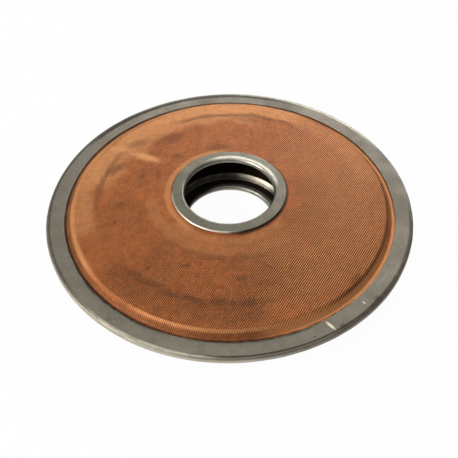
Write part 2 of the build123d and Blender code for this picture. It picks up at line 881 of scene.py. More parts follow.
@dataclass(frozen=True)
class SteelFinish(Finish):
    """Dull folded strip steel with rolling lines and a film of oil, and with marks: spots and scratches,
    and painted shade and painted highlights along folds and edges.

    Attributes:
        lines: Rolling lines to the metre.
        line_contrast: How dark and how bright the lines are.
        specks: Grains to the metre.
        speck_dark: How dark the darkest grains are.
        speck_light: How bright the brightest are.
        film_scale: Size of the oil film's patches, in features to the metre.
        film_coverage: Share of the surface that the film covers.
        film_strength: How much the film darkens.
        film_roughness: How much it adds to the roughness.
        tarnish: Colour of the small tarnished spots.
        tarnish_fineness: How much smaller they are than the film's patches.
        tarnish_strength: How much they show.
        painted_fold_shade: How much painted shade darkens the inside of a fold, from 0 to 1.
        fold_shade_heights: Heights over the middle plane between which that painted shade lies.
        fold_shade_fade: How softly it ends there.
        relief_depth: Depth of the rolling lines.
    """

    lines: float = 1600.0
    line_contrast: float = 0.3
    specks: float = 2000.0
    speck_dark: float = 0.35
    speck_light: float = 0.2
    film_scale: float = 60.0
    film_coverage: float = 0.5
    film_strength: float = 0.35
    film_roughness: float = 0.1
    tarnish: Colour = srgb(120, 96, 66)
    tarnish_fineness: float = 2.4
    tarnish_strength: float = 0.16
    painted_fold_shade: float = 0.0
    fold_shade_heights: Point = (5.8 * MM, 7.8 * MM)
    fold_shade_fade: float = 0.7 * MM
    relief_depth: float = 0.012 * MM

    def material(self, effects: Effects) -> Material:
        """Builds the material.

        Args:
            effects: The shared effects.

        Returns:
            The finished material.
        """
        w = self.begin(effects)
        lines = w.effect(effects.drawn_lines, Lines=self.lines, Contrast=1.3)
        speck = w.effect(effects.grain, Scale=self.specks, Contrast=1.9)
        large, small = self.film_scale, self.film_scale * self.tarnish_fineness
        film = w.effect(effects.film, Scale=large, Coverage=self.film_coverage, Softness=0.12)
        spots = w.effect(effects.film, Scale=small, Coverage=0.42, Softness=0.1)
        colour = w.blend(w.times(film, self.film_strength), self.base, self.dark)
        colour = w.blend(w.times(spots, self.tarnish_strength), colour, self.tarnish)
        colour = w.blend(w.step(lines, 0.35, 0.0, self.line_contrast), colour, self.dark)
        colour = w.blend(w.step(lines, 0.62, 1.0, self.line_contrast), colour, self.light)
        colour = w.blend(w.step(speck, 0.45, 0.0, self.speck_dark), colour, self.dark)
        colour = w.blend(w.step(speck, 0.6, 1.0, self.speck_light), colour, self.light)
        # Painted shade inside the folds, in the near-black gap colour.
        if self.painted_fold_shade:
            colour = w.blend(self.fold_shade_mask(w), colour, self.gap_shade_and_pit)
        rough = w.plus(w.times(film, self.film_roughness), self.roughness - self.rough_spread)
        rough = w.plus(rough, w.times(speck, self.rough_spread), clamp=True)
        relief = w.plus(w.times(lines, 0.6), w.times(speck, 0.4))
        return w.complete(self.marked(w, colour), rough, relief, self.relief_depth)

    def fold_shade_mask(self, w: Coat) -> NodeSocket:
        """Adds the mask of the painted shade inside the folds, alike on both halves.

        Args:
            w: The material's wiring.

        Returns:
            The mask.
        """
        split = w.node("ShaderNodeSeparateXYZ")
        w.feed(split.inputs[0], w.place)
        height = w.math("ABSOLUTE", split.outputs[2])
        (low, high), fade = self.fold_shade_heights, self.fold_shade_fade
        over = w.step(height, low - fade, low + fade)
        under = w.step(height, high + fade, high - fade)
        return w.times(w.times(over, under), self.painted_fold_shade)


@dataclass(frozen=True)
class Weave:
    """Plain Dutch weave: parallel ridges over thick warp wires, closed by fine weft wires.

    Attributes:
        pitch: Distance from one ridge to the next.
        weft_pitch: Distance from one weft wire to the next.
        depth: Height of a ridge over the valley beside it.
        bearing: Direction of the ridges, in degrees from X towards Y.
    """

    pitch: float = 0.726 * MM
    weft_pitch: float = 0.134 * MM
    depth: float = 0.15 * MM
    bearing: float = 58.0

    @property
    def along(self) -> Point:
        """Unit vector along the ridges."""
        return math.cos(math.radians(self.bearing)), math.sin(math.radians(self.bearing))

    @property
    def across(self) -> Point:
        """Unit vector across the ridges, to the right of along."""
        return self.along[1], -self.along[0]


@dataclass(frozen=True)
class ClothFinish(Finish):
    """Bronze wire cloth, browned by oil, with oil and painted shade between its ridges and painted
    highlights on their crests.

    Attributes:
        brown: Colour that the oil's film leaves on the plain cloth.
        valley: Colour of the oil and painted shade between two ridges, and of the darkest grains.
        weave: The cloth's weave, which the ridges of its mesh follow too.
        stretched: Where the dish has stretched the ridges, which closes the valleys and lessens their
            painted shade.
        ridge_shading_side: The side of the disc where the painted shade between the ridges and the
            painted highlights on their crests are stronger.
        valley_shade_share: How much of the dark, oil and painted shade, shows between plain ridges, from
            0 to 1.
        valley_shade_gain: What the ridge_shading_side adds to that.
        crest_highlight_share: How bright the painted highlight on the crests of plain ridges is, from 0
            to 1.
        crest_highlight_gain: What the ridge_shading_side adds to that.
        specks: Grains to the metre.
        speck_contrast: How dark the darkest grains are, and how bright the brightest.
        relief_depth: Depth of the weft wires.
    """

    brown: Colour = srgb(150, 84, 46)
    valley: Colour = srgb(52, 24, 10)
    weave: Weave = Weave()
    stretched: Band = Band(Tone.LIGHT, 66.6, 3.0, 0.55)
    ridge_shading_side: Band = Band(Tone.LIGHT, 46.0, 26.0, 1.0, 2.0, 0.0, -10, 45, 0.5)
    valley_shade_share: float = 0.7
    valley_shade_gain: float = 0.6
    crest_highlight_share: float = 0.22
    crest_highlight_gain: float = 0.5
    specks: float = 2600.0
    speck_contrast: Point = (0.55, 0.5)
    relief_depth: float = 0.02 * MM

    def material(self, effects: Effects) -> Material:
        """Builds the material.

        Args:
            effects: The shared effects.

        Returns:
            The finished material.
        """
        w, weave = self.begin(effects), self.weave
        colour = self.marked(w, self.stained(w))
        crest = w.effect(effects.waves, Across=(*weave.across, 0.0), Pitch=weave.pitch)
        wires = w.effect(effects.waves, Across=(*weave.along, 0.0), Pitch=weave.weft_pitch)
        speck = w.effect(effects.grain, Scale=self.specks, Contrast=1.8)
        stretched, ridge_shading_side = self.stretched.mask(w), self.ridge_shading_side.mask(w)
        # Oil and painted shade between the ridges, and painted highlights on their crests, both stronger
        # on one side of the disc.
        valley_shade_strength = w.minus(w.plus(self.valley_shade_share, w.times(ridge_shading_side, self.valley_shade_gain)), stretched)
        valley_shade = w.times(w.step(crest, 0.75, 0.0), valley_shade_strength, clamp=True)
        colour = w.blend(valley_shade, colour, self.valley)
        crest_highlight_strength = w.plus(self.crest_highlight_share, w.times(ridge_shading_side, self.crest_highlight_gain))
        colour = w.blend(w.times(w.step(crest, 0.7, 1.0), crest_highlight_strength), colour, self.light)
        darkest, brightest = self.speck_contrast
        colour = w.blend(w.step(speck, 0.42, 0.0, darkest), colour, self.valley)
        colour = w.blend(w.step(speck, 0.6, 1.0, brightest), colour, self.light)
        spread = 2 * self.rough_spread
        rough = w.plus(w.times(speck, spread), self.roughness - self.rough_spread)
        relief = w.plus(w.times(wires, 0.6), w.times(speck, 0.4))
        return w.complete(colour, rough, relief, self.relief_depth)

    def stained(self, w: Coat) -> Feed:
        """Adds the oil's stains to the plain cloth, clouds, blots and mottles, and small painted glints.

        Args:
            w: The material's wiring.

        Returns:
            The stained colour.
        """
        colour = self.base
        for scale, coverage, softness, strength, tint in (
            (30.0, 0.5, 0.16, 0.5, self.brown),
            (130.0, 0.46, 0.12, 0.35, self.brown),
            (430.0, 0.46, 0.12, 0.3, self.dark),
            (620.0, 0.42, 0.1, 0.22, self.light),
        ):
            film = w.effect(w.effects.film, Scale=scale, Coverage=coverage, Softness=softness)
            colour = w.blend(w.times(film, strength), colour, tint)
        return colour


@dataclass
class RimChannel:
    """Steel strip folded round the hems of both halves, open towards the bore.

    It is up to dent further in and up to the share pinch lower than a perfect one. bends and seeds
    belong to its slow and its quick waves.
    """

    finish: SteelFinish
    name: str = "folded_rim"
    sheet: float = 0.5 * MM
    fold_r: float = 0.95 * MM
    lip_edge_r: float = 0.16 * MM
    segments: int = 360
    dent: float = 0.14 * MM
    pinch: float = 0.02
    bends: Point = (3.0, 14.0)
    seeds: Point = (0.7, 4.2)

    def section(self) -> FoldedStrip:
        """Reads the section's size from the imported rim.

        Returns:
            The strip's section.
        """
        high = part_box("outer_rim")[1]
        inner_r, outer_r, half = inner_radius("outer_rim"), high.x, high.z
        path = ((inner_r, half), (outer_r, half), (outer_r, -half), (inner_r, -half))
        edges = (self.lip_edge_r, self.lip_edge_r)
        return FoldedStrip(path, (self.fold_r, self.fold_r), self.sheet, edges, edges)

    def settle(self, points: np.ndarray) -> np.ndarray:
        """Gives the rim the slight waves and flats of a strip folded by hand tools.

        Args:
            points: Vertices of the perfect rim.

        Returns:
            The vertices with the waves. None of them is further out than before.
        """
        radius = np.hypot(points[:, 0], points[:, 1])
        angle = np.arctan2(points[:, 1], points[:, 0])
        slow, quick = (noise_round(angle, *kind) for kind in zip(self.bends, self.seeds))
        inwards = self.dent * np.clip(0.35 + 0.9 * slow + 0.5 * quick, 0.0, 1.0)
        scale = 1 - inwards / radius
        squeeze = 1 - self.pinch * np.clip(slow + 0.4 * quick + 0.4, 0.0, 1.0)
        return points * np.stack([scale, scale, squeeze], 1)

    def build(self, effects: Effects) -> Object:
        """Builds and dresses the rim.

        Args:
            effects: The shared effects.

        Returns:
            The rim's object.
        """
        surface = self.section().turned(self.segments)
        surface.points = [self.settle(np.concatenate(surface.points))]
        piece = surface.to_object(self.name, self.finish.material(effects))
        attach(piece, "root")
        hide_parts("outer_rim")
        return piece


@dataclass
class HubRing:
    """Steel ring folded round the inner edge of one half, with a flange, a bore wall and a collar.

    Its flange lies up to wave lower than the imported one. The waves begin between two heights.
    """

    side: Side
    material: Material
    sheet: float = 0.8 * MM
    mouth_r: float = 1.0 * MM
    fold_r: float = 1.0 * MM
    collar_inset: float = 0.2 * MM
    collar_flare: float = 2.0 * MM
    collar_bend_r: float = 0.4 * MM
    flange_edge_r: float = 0.45 * MM
    cut_edge_r: float = 0.15 * MM
    segments: int = 240
    wave: float = 0.05 * MM
    wave_reach: float = 5.0
    wave_seed: float = 1.3
    wavy_between: Point = (8.0 * MM, 9.0 * MM)

    @property
    def node(self) -> str:
        """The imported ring's name."""
        return f"{self.side.word}_hub_ring"

    def section(self) -> FoldedStrip:
        """Reads the section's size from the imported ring.

        Returns:
            The strip's section for the upper half.
        """
        points = node_points(self.node)
        radius, height = np.hypot(points[:, 0], points[:, 1]), np.abs(points[:, 2])
        bore_r, face, edge = float(radius.min()), float(height.max()), float(height.min())
        flange_r = float(radius[height > face - self.sheet / 2].max())
        collar_r = flange_r - self.collar_inset
        leg = float(height[radius < collar_r - 2 * self.sheet].min())
        path = (
            (collar_r + self.collar_flare, edge),
            (collar_r, leg),
            (bore_r, leg),
            (bore_r, face),
            (flange_r, face),
        )
        bends = (self.collar_bend_r, self.fold_r, self.mouth_r)
        cut = (self.cut_edge_r, self.cut_edge_r)
        return FoldedStrip(path, bends, self.sheet, cut, (self.flange_edge_r, self.cut_edge_r))

    def settle(self, points: np.ndarray) -> np.ndarray:
        """Gives the ring the slight waves of pressed sheet.

        Args:
            points: Vertices of the perfect ring.

        Returns:
            The vertices with the waves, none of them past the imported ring's faces.
        """
        angle = np.arctan2(points[:, 1], points[:, 0])
        wave = noise_round(angle, self.wave_reach, self.wave_seed * self.side.value)
        drop = self.wave * np.clip(0.5 + wave, 0.0, 1.0)
        lowered = points.copy()
        lowered[:, 2] -= drop * smooth_step(points[:, 2], *self.wavy_between)
        return lowered

    def build(self) -> Object:
        """Builds and dresses the ring.

        Returns:
            The ring's object.
        """
        surface = self.section().turned(self.segments)
        surface.points = [self.settle(np.concatenate(surface.points))]
        if self.side is Side.LOWER:
            surface.mirror()
        piece = surface.to_object(f"{self.side.word}_hub_fold", self.material)
        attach(piece, "root")
        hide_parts(self.node)
        return piece


@dataclass(frozen=True)
class Crease:
    """A shallow straight fold in the cloth, with its lengths in millimetres.

    Attributes:
        centre: Its place (x, y).
        half_length: Half of its length.
        half_width: Half of its width.
        rise: Height of its crest, or depth if negative.
        bearing: Its direction, in degrees from X towards Y.
    """

    centre: Point
    half_length: float
    half_width: float
    rise: float
    bearing: float

    def height(self, x: np.ndarray, y: np.ndarray) -> np.ndarray:
        """Height that the crease adds at each place.

        Args:
            x: The places' X.
            y: Their Y.

        Returns:
            The heights.
        """
        turn = math.radians(self.bearing)
        right, back = x - self.centre[0] * MM, y - self.centre[1] * MM
        along = right * math.cos(turn) + back * math.sin(turn)
        across = back * math.cos(turn) - right * math.sin(turn)
        away = (along / (self.half_length * MM)) ** 2 + (across / (self.half_width * MM)) ** 2
        return self.rise * MM * np.exp(-2 * away)


@dataclass
class WireScreen:
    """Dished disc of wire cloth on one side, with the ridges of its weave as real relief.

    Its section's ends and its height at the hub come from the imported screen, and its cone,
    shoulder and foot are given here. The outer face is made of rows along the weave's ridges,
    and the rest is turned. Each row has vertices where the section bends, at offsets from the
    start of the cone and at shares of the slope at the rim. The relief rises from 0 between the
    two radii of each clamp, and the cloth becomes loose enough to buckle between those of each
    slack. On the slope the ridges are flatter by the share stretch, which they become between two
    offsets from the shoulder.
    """

    side: Side
    material: Material
    weave: Weave
    creases: tuple[Crease, ...] = ()
    thickness: float = 0.4 * MM
    cone_start_r: float = 23.8 * MM
    shoulder_r: float = 63.85 * MM
    shoulder_height: float = 3.9 * MM
    shoulder_bend_r: float = 1.7 * MM
    foot_r: float = 66.3 * MM
    foot_bend_r: float = 0.6 * MM
    hem_face: float = 0.8 * MM
    ridged_from: float = 22.6 * MM
    ridged_to: float = 68.3 * MM
    hub_clamp: Point = (23.0 * MM, 23.6 * MM)
    hem_clamp: Point = (68.0 * MM, 67.4 * MM)
    hub_slack: Point = (24.0 * MM, 30.0 * MM)
    hem_slack: Point = (66.4 * MM, 63.0 * MM)
    rows_to_ridge: int = 4
    row_margin: float = 0.02 * MM
    start_offsets: tuple[float, ...] = (-0.4 * MM, 0.0, 0.6 * MM)
    bend_margin: float = 3 * MM
    slope_shares: tuple[float, ...] = (0.3, 0.7, 1.1)
    step_along: float = 2.6 * MM
    closest: float = 0.16 * MM
    segments: int = 240
    buckle: float = 0.16 * MM
    buckle_size: float = 17 * MM
    pucker: float = 0.035 * MM
    pucker_size: float = 4 * MM
    seed: float = 2.6
    stretch: float = 0.65
    stretch_offsets: Point = (-0.5 * MM, 1.0 * MM)

    @property
    def node(self) -> str:
        """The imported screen's name."""
        return f"{self.side.word}_screen"

    @cached_property
    def profile(self) -> np.ndarray:
        """The outer face's section for the upper half, from the hub fold to the hem."""
        low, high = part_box(self.node)
        hub_height = max(abs(low.z), abs(high.z))
        corners = (
            (inner_radius(self.node), hub_height),
            (self.cone_start_r, hub_height),
            (self.shoulder_r, self.shoulder_height),
            (self.foot_r, self.hem_face),
            (high.x, self.hem_face),
        )
        radii = (0, 0, self.shoulder_bend_r, self.foot_bend_r, 0)
        return rounded_path(corners, radii, closed=False, steps=8)

    def close_radii(self) -> np.ndarray:
        """Finds the radii where the section bends, so that every row has vertices there.

        Returns:
            The radii, in rising order.
        """
        radii = self.profile[:, 0]
        start = self.cone_start_r + np.array(self.start_offsets)
        bends = radii[(radii > self.shoulder_r - self.bend_margin) & (radii < self.ridged_to)]
        extra = np.array(self.slope_shares) * (self.foot_r - self.shoulder_r) + self.shoulder_r
        return np.sort(np.concatenate([start, bends, extra]))

    def reach(self, across: float) -> np.ndarray:
        """Distances from the middle at which a row has vertices, on one side of the disc.

        Args:
            across: The row's place across the ridges.

        Returns:
            The distances, in rising order.
        """
        start = math.sqrt(max(self.ridged_from**2 - across**2, 0.0))
        end = math.sqrt(self.ridged_to**2 - across**2)
        radii = self.close_radii()
        bends = np.sqrt(radii[radii > abs(across)] ** 2 - across**2)
        steps = np.arange(math.ceil(start / self.step_along) + 1, end / self.step_along)
        kept = [start]
        for place in np.sort(np.concatenate([bends, steps * self.step_along])):
            if min(place - kept[-1], end - place) > self.closest:
                kept.append(place)
        return np.array([*kept, end])

    def relief(self, x: np.ndarray, y: np.ndarray) -> np.ndarray:
        """Height of the cloth over its plain section: ridges, buckles, puckers and creases.

        Args:
            x: The places' X.
            y: Their Y.

        Returns:
            The heights, 0 where the cloth is clamped.
        """
        radius = np.hypot(x, y)
        across = x * self.weave.across[0] + y * self.weave.across[1]
        valley = 0.5 - 0.5 * np.cos(2 * math.pi * across / self.weave.pitch)
        seed = self.seed * self.side.value
        buckles = self.buckle * noise_over(x, y, self.buckle_size, seed)
        puckers = self.pucker * noise_over(x, y, self.pucker_size, seed + 5)
        folds = sum((crease.height(x, y) for crease in self.creases), np.zeros_like(x))
        held = smooth_step(radius, *self.hub_clamp) * smooth_step(radius, *self.hem_clamp)
        loose = smooth_step(radius, *self.hub_slack) * smooth_step(radius, *self.hem_slack)
        low, high = (self.shoulder_r + offset for offset in self.stretch_offsets)
        on_slope = smooth_step(radius, low, high)
        depth = self.weave.depth * (1 - self.stretch * on_slope)
        return held * (puckers - depth * valley) + loose * (buckles + folds)

    def raised(self, x: np.ndarray, y: np.ndarray) -> np.ndarray:
        """Places on the outer face, moved off the plain section by the relief.

        Args:
            x: The places' X.
            y: Their Y.

        Returns:
            Points of shape (n, 3).
        """
        radius, (radii, heights) = np.hypot(x, y), self.profile.T
        height = np.interp(radius, radii, heights)
        slope = np.interp(radius, radii, np.gradient(heights, radii))
        lift = self.relief(x, y) / np.sqrt(1 + slope**2)
        scale = 1 - lift * slope / radius
        return np.stack([x * scale, y * scale, height + lift], 1)

    def ridged_face(self, surface: Surface) -> tuple[Ring, Ring]:
        """Adds the ridged part of the outer face.

        Args:
            surface: The surface that it goes to.

        Returns:
            Its inner edge and its outer edge.
        """
        spacing = self.weave.pitch / self.rows_to_ridge
        last = math.floor((self.ridged_to - self.row_margin) / spacing)
        across, along = np.array(self.weave.across), np.array(self.weave.along)
        rows, plan, count = [], [], 0
        for offset in np.arange(-last, last + 1) * spacing:
            reach = self.reach(offset)
            whole = int(abs(offset) >= self.ridged_from)
            places = np.concatenate([-reach[::-1], reach[whole:]])
            indices = np.arange(count, count + len(places))
            count += len(places)
            plan.append(offset * across + places[:, None] * along)
            left, right = slice(len(reach)), slice(len(reach) - whole, None)
            rows.append((indices[left], places[left], indices[right], places[right]))
        flat = np.concatenate(plan)
        first = surface.add(self.raised(flat[:, 0], flat[:, 1]))[0]
        inner, outer = [], [*rows[0][0], *rows[0][2], *rows[-1][0], *rows[-1][2]]
        for near, far in zip(rows, rows[1:]):
            for part in (0, 2):
                near_line, far_line = near[part : part + 2], far[part : part + 2]
                triangles = zip_lines(*near_line, *far_line)
                surface.faces += [tuple(int(first + index) for index in face) for face in triangles]
        split = [left[-1] != right[0] for left, _, right, _ in rows]
        for number, (left, _, right, _) in enumerate(rows):
            outer += [left[0], right[-1]]
            if any(split[max(number - 1, 0) : number + 2]):
                inner += [left[-1], right[0]]
        inner_edge, outer_edge = np.unique(inner), np.unique(outer)
        return (
            surface.edge_ring(inner_edge + first, flat[inner_edge]),
            surface.edge_ring(outer_edge + first, flat[outer_edge]),
        )

    def inner_face_path(self) -> np.ndarray:
        """Follows the outer face at the cloth's thickness.

        Returns:
            The inner face's section, from the hem back to the hub fold.
        """
        radii, heights = self.profile.T
        slope = np.gradient(heights, radii)
        normal = np.stack([-slope, np.ones_like(slope)], 1) / np.sqrt(1 + slope**2)[:, None]
        path = self.profile - self.thickness * normal
        ends = self.profile[[0, -1]] - np.array([0.0, self.thickness])
        return np.vstack([ends[:1], path[1:-1], ends[1:]])[::-1]

    def build(self) -> Object:
        """Builds and dresses the screen.

        Returns:
            The screen's object.
        """
        surface = Surface()
        inner, outer = self.ridged_face(surface)
        section = np.vstack([self.profile[-1:], self.inner_face_path(), self.profile[:1]])
        rings = [surface.ring(float(r), float(z), self.segments) for r, z in section]
        for current, following in zip([outer, *rings], [*rings, inner]):
            surface.join(current, following)
        if self.side is Side.LOWER:
            surface.mirror()
        piece = surface.to_object(f"{self.side.word}_wire_cloth", self.material)
        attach(piece, "root")
        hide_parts(self.node)
        return piece


@dataclass
class SupportPlates:
    """The two slotted plates between the screens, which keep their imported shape."""

    finish: SteelFinish

    def dress(self, effects: Effects) -> list[str]:
        """Gives both plates their finish.

        Args:
            effects: The shared effects.

        Returns:
            The names of the dressed nodes.
        """
        material = self.finish.material(effects)
        names = [f"{side.word}_support_plate" for side in Side]
        for name in names:
            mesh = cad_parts[name].data
            mesh.materials.clear()
            mesh.materials.append(material)
        return names


@dataclass(frozen=True)
class PhotoCamera:
    """Camera of the photograph, as fitted to the rim's and the bore's outlines.

    Attributes:
        elevation: Its height over the horizon, in degrees.
        roll: Its roll, in degrees.
        focal_px: Focal length, in pixels of the photograph.
        frame_px: Side of the photograph, in pixels.
        middle_px: Where the line of sight meets the photograph, in pixels from its left and top edges.
        distance: Distance from the disc's middle along the line of sight.
        shift_right: How far the camera stands to the right of that line.
        shift_up: How far it stands above it.
        sensor_mm: Width of the sensor.
    """

    elevation: float = 47.72
    roll: float = -0.78
    focal_px: float = 695.0
    frame_px: float = 458.0
    middle_px: Point = (229.5, 229.5)
    distance: float = 288.6 * MM
    shift_right: float = 0.05 * MM
    shift_up: float = -9.88 * MM
    sensor_mm: float = 36.0

    def place(self) -> Object:
        """Makes the camera and gives it to the scene.

        Returns:
            The camera.
        """
        tilt, roll = math.radians(self.elevation), math.radians(self.roll)
        forward = Vector((0, math.cos(tilt), -math.sin(tilt)))
        level_up = Vector((0, math.sin(tilt), math.cos(tilt)))
        level_right = Vector((1, 0, 0))
        right = level_right * math.cos(roll) + level_up * math.sin(roll)
        up = level_up * math.cos(roll) - level_right * math.sin(roll)
        lens = bpy.data.cameras.new("photo_camera")
        lens.sensor_width = self.sensor_mm
        lens.lens = self.focal_px / self.frame_px * self.sensor_mm
        lens.shift_x = 0.5 - self.middle_px[0] / self.frame_px
        lens.shift_y = self.middle_px[1] / self.frame_px - 0.5
        lens.clip_start = 1 * MM
        camera = add_object("photo_camera", lens)
        camera.matrix_world = Matrix((right, up, -forward)).transposed().to_4x4()
        camera.location = -self.distance * forward + self.shift_up * up + self.shift_right * right
        bpy.context.scene.camera = camera
        return camera


@dataclass(frozen=True)
class SoftBox:
    """A soft lamp that is aimed at the disc.

    Attributes:
        name: The lamp's name.
        place: Where it stands.
        size: Its width and height.
        watts: Its power.
        colour: Its colour.
    """

    name: str
    place: tuple[float, float, float]
    size: Point
    watts: float
    colour: tuple[float, float, float] = (1.0, 1.0, 1.0)

    def light(self) -> Object:
        """Makes the lamp.

        Returns:
            The lamp's object.
        """
        lamp = bpy.data.lights.new(self.name, "AREA")
        lamp.shape = "RECTANGLE"
        lamp.size, lamp.size_y = self.size
        lamp.energy = self.watts
        lamp.color = self.colour
        made = add_object(self.name, lamp)
        made.location = self.place
        made.rotation_euler = (-Vector(self.place)).to_track_quat("-Z", "Y").to_euler()
        return made


@dataclass
class Studio:
    """Pale floor, soft lamps and an even surround.

    floor_glow is the share of plain white in the floor where it is seen directly.
    """

    lamps: tuple[SoftBox, ...]
    floor_size: float = 6.0
    floor_colour: Colour = (0.82, 0.82, 0.82, 1.0)
    speck_colour: Colour = (0.7, 0.7, 0.7, 1.0)
    floor_roughness: float = 0.9
    floor_glow: float = 0.97
    surround: Colour = (1.0, 1.0, 1.0, 1.0)
    surround_strength: float = 0.28

    def floor_material(self, effects: Effects) -> Material:
        """Pale floor that the camera and reflections see nearly white, with a faint shadow.

        Args:
            effects: The shared effects.

        Returns:
            The floor's material.
        """
        w = Coat("studio_floor", effects)
        specks = w.step(w.noise(w.place, scale=900.0, detail=3.0), 0.4, 0.7, top=0.05)
        tint = w.blend(specks, self.floor_colour, self.speck_colour)
        w.feed(w.shader.inputs["Base Color"], tint)
        w.shader.inputs["Roughness"].default_value = self.floor_roughness
        both = w.node("ShaderNodeMixShader")
        w.feed(both.inputs[0], w.times(self.seen_directly(w), self.floor_glow))
        w.feed(both.inputs[1], w.shader.outputs[0])
        w.feed(both.inputs[2], w.node("ShaderNodeEmission").outputs[0])
        w.feed(w.tree.nodes["Material Output"].inputs["Surface"], both.outputs[0])
        return w.material

    @staticmethod
    def seen_directly(w: Wiring) -> NodeSocket:
        """Tells the rays that look at the floor from those that gather its light.

        Args:
            w: The material's wiring.

        Returns:
            1 for rays from the camera, from reflections and through glass, and 0 for the others.
        """
        path = w.node("ShaderNodeLightPath")
        seen = w.math("MAXIMUM", path.outputs["Is Camera Ray"], path.outputs["Is Glossy Ray"])
        return w.math("MAXIMUM", seen, path.outputs["Is Transmission Ray"])

    def build(self, effects: Effects) -> None:
        """Makes the floor, the surround and the lamps.

        Args:
            effects: The shared effects.
        """
        ground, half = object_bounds()[0].z, self.floor_size / 2
        mesh = bpy.data.meshes.new("floor")
        corners = [(x * half, y * half, ground) for x, y in ((-1, -1), (1, -1), (1, 1), (-1, 1))]
        mesh.from_pydata(corners, [], [(0, 1, 2, 3)])
        mesh.materials.append(self.floor_material(effects))
        floor = add_object("floor", mesh)
        floor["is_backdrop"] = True
        world = bpy.data.worlds.new("surround")
        bpy.context.scene.world = world
        world.use_nodes = True
        w = Wiring(world.node_tree)
        sky = world.node_tree.nodes["Background"]
        sky.inputs["Color"].default_value = self.surround
        path = w.node("ShaderNodeLightPath")
        strength = w.node("ShaderNodeMapRange")
        w.feed(strength.inputs["Value"], path.outputs["Is Camera Ray"])
        strength.inputs["To Min"].default_value = self.surround_strength
        w.feed(sky.inputs["Strength"], strength.outputs["Result"])
        for lamp in self.lamps:
            lamp.light()


RIM_FINISH = SteelFinish(
    name="rim_steel",
    base=srgb(147, 141, 127),
    dark=srgb(62, 54, 44),
    light=srgb(246, 238, 216),
    roughness=0.5,
    metallic=0.75,
    film_strength=0.22,
    marks=(
        Band(Tone.DARK, 71.0, 7.0, 0.4, bearing=48, half_span=52),
        Band(Tone.DARK, 71.0, 7.0, 0.16, bearing=-44, half_span=28),
        # Painted shade and painted dark reflections along the outer fold and the face beside it, at the
        # back, the left and the right.
        Band(Tone.DARK, 72.7, 1.3, 0.95, 0.1, 0.15, 107, 32),
        Band(Tone.DARK, 73.7, 0.7, 0.6, 0.05, 0.2, 170, 40),
        Band(Tone.DARK, 74.7, 0.5, 0.5, 0.05, 0.1, 135, 46),
        Band(Tone.DARK, 73.5, 0.6, 0.9, 0.1, 0.15, -68, 24),
        Band(Tone.DARK, 73.9, 1.0, 0.8, 0.1, 0.15, -30, 16),
        # Painted highlights on the outer fold and the outer wall at the front left, and on the fold at
        # the back right.
        Band(Tone.LIGHT, 73.9, 0.7, 0.6, 0.1, 0.4, -115, 12, 0.06),
        Band(Tone.LIGHT, 75.2, 0.6, 0.4, bearing=-118, half_span=36),
        Band(Tone.LIGHT, 73.7, 0.6, 0.5, 0.1, 0.5, 58, 12),
        Band(Tone.DARK, 67.7, 1.0, 0.75, 0.5, 0.5, -130, 10, 0.06),
        Band(Tone.DARK, 67.7, 0.8, 0.8, 0.4, 0.4, -82, 11, 0.06),
        Patch(Tone.DARK, (39.8, -61.3), 1.6, 1.8, 0.6, -57, 0.5),
        Patch(Tone.DARK, (53.9, -49.4), 1.5, 1.8, 0.6, -42, 0.5),
        Patch(Tone.DARK, (-43.8, -57.1), 1.2, 1.8, 0.25, 52, 0.6),
        Patch(Tone.LIGHT, (35.3, -61.2), 3.2, 0.8, 1.0, -48, 0.12),
        Patch(Tone.LIGHT, (48.5, -51.4), 1.0, 0.4, 0.9, -42, 0.2),
        Patch(Tone.GAP_SHADE_AND_PIT, (29.4, -65.7), 0.7, 0.5, 0.8),
        Patch(Tone.GAP_SHADE_AND_PIT, (-29.3, 63.8), 0.6, 0.6, 0.9),
    ),
)

HUB_FINISH = SteelFinish(
    name="hub_steel",
    base=srgb(128, 124, 110),
    dark=srgb(54, 48, 38),
    light=srgb(250, 244, 228),
    roughness=0.36,
    metallic=0.85,
    film_scale=110.0,
    film_strength=0.25,
    # Painted shade inside the folds of both hub rings.
    painted_fold_shade=0.6,
    marks=(
        # Painted light: highlights on the bore lip at the back right, on the flange's outer edge at the
        # front left and on the collar; shade on the flange's outer edge at the right and on the collar
        # at the left.
        Band(Tone.LIGHT, 19.4, 1.5, 0.7, 0.15, 0.25, 62, 30, 0.4),
        Band(Tone.LIGHT, 23.2, 0.45, 0.9, 0.05, 0.1, -128, 42),
        Band(Tone.LIGHT, 24.7, 0.8, 0.15, 0.1, 0.2, 50, 25, 0.3),
        Band(Tone.DARK, 23.3, 0.5, 0.85, 0.05, 0.1, -25, 60),
        Band(Tone.GAP_SHADE_AND_PIT, 24.4, 1.4, 0.8, 0.1, 0.2, 145, 60),
    ),
)

SUPPORT_FINISH = SteelFinish(
    name="oily_support_steel",
    base=srgb(86, 72, 58),
    dark=srgb(34, 26, 20),
    light=srgb(128, 58, 38),
    roughness=0.45,
    metallic=0.5,
    film_coverage=0.6,
    film_strength=0.6,
    marks=(Patch(Tone.LIGHT, (14.0, 24.0), 1.8, 1.4, 0.9),),
)

